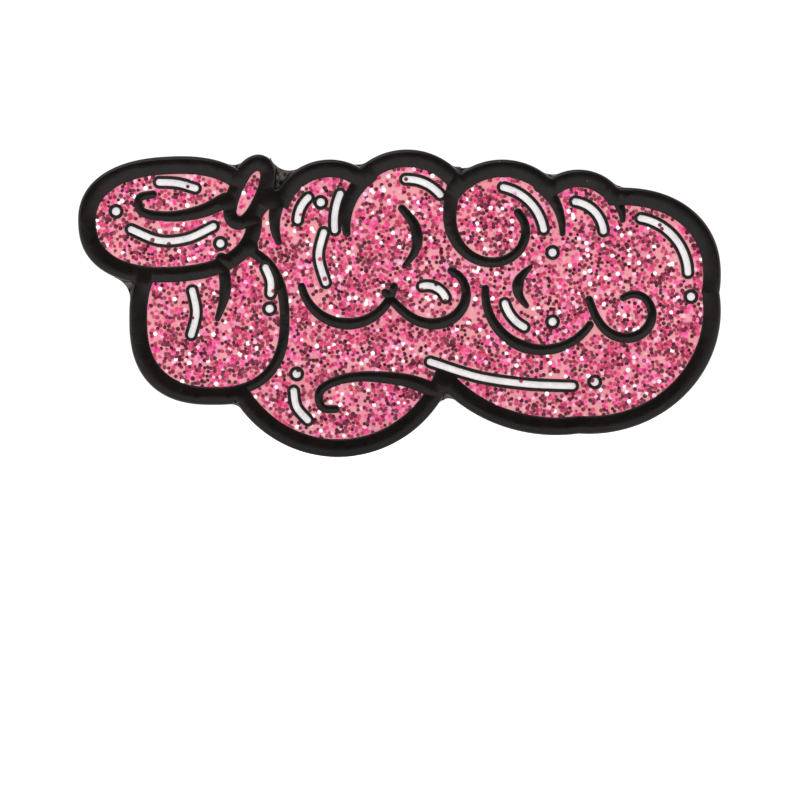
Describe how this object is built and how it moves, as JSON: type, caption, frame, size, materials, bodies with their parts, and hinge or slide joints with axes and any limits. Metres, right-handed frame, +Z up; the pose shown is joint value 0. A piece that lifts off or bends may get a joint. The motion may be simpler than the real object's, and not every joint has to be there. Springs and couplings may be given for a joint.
{
  "type": "enamel pin",
  "caption": "Cloud-shaped enamel pin: black raised lines, pink glitter cells, white highlights, a soldered post and a sprung butterfly clutch.",
  "frame": {"origin": "where the post's axis meets the flat back face of the pin", "axes": "+Z up as worn, +X to the right seen from the enamel front, which faces -Y; +Y along the post, away from the pin"},
  "size_m": [0.032, 0.0103, 0.0154],
  "materials": {
    "black_plating": "gloss black dye plating, crinkled on the back",
    "pink_enamel": "clear gloss over dense hexagonal glitter",
    "white_enamel": "gloss",
    "post_nickel": "bright nickel",
    "clutch_nickel": "bright nickel, lightly worn"
  },
  "bodies": {
    "pin": {"enamel_cloud": "pink_enamel", "enamel_finger": "pink_enamel", "enamel_head": "pink_enamel", "enamel_low": "pink_enamel", "highlight_bar_bottom": "white_enamel", "highlight_bar_first_left": "white_enamel", "highlight_bar_first_right": "white_enamel", "highlight_bar_fourth": "white_enamel", "highlight_bar_head_belly": "white_enamel", "highlight_bar_head_top": "white_enamel", "highlight_bar_low_left": "white_enamel", "highlight_bar_low_right": "white_enamel", "highlight_bar_neck": "white_enamel", "highlight_bar_scale_middle": "white_enamel", "highlight_bar_scale_right": "white_enamel", "highlight_bar_second": "white_enamel", "highlight_bar_shoulder": "white_enamel", "highlight_bar_tail": "white_enamel", "highlight_bar_third": "white_enamel", "highlight_dot_bottom": "white_enamel", "highlight_dot_first": "white_enamel", "highlight_dot_head_left": "white_enamel", "highlight_dot_head_right": "white_enamel", "highlight_dot_low": "white_enamel", "highlight_dot_scale": "white_enamel", "highlight_dot_shoulder": "white_enamel", "highlight_dot_tail": "white_enamel", "highlight_dot_third": "white_enamel", "pin_body": "black_plating", "post": "post_nickel"},
    "clutch": {"clutch_base": "clutch_nickel", "clutch_cover": "clutch_nickel", "clutch_spring": "clutch_nickel"},
    "wing_left": {"clutch_wing_left": "clutch_nickel"},
    "wing_right": {"clutch_wing_right": "clutch_nickel"}
  },
  "joints": [
    {"name": "clutch_slide", "type": "slide", "parent": "pin", "child": "clutch", "axis": [0, 1, 0], "range_m": [0, 0.007]},
    {"name": "wing_right_press", "type": "hinge", "parent": "clutch", "child": "wing_right", "pos_m": [0.00324, 0.003, 0], "axis": [0, 0, 1], "range_deg": [0, 10], "stiffness_Nm_per_rad": 0.1},
    {"name": "wing_left_press", "type": "hinge", "parent": "clutch", "child": "wing_left", "pos_m": [-0.00324, 0.003, 0], "axis": [0, 0, -1], "range_deg": [0, 10], "stiffness_Nm_per_rad": 0.1}
  ]
}
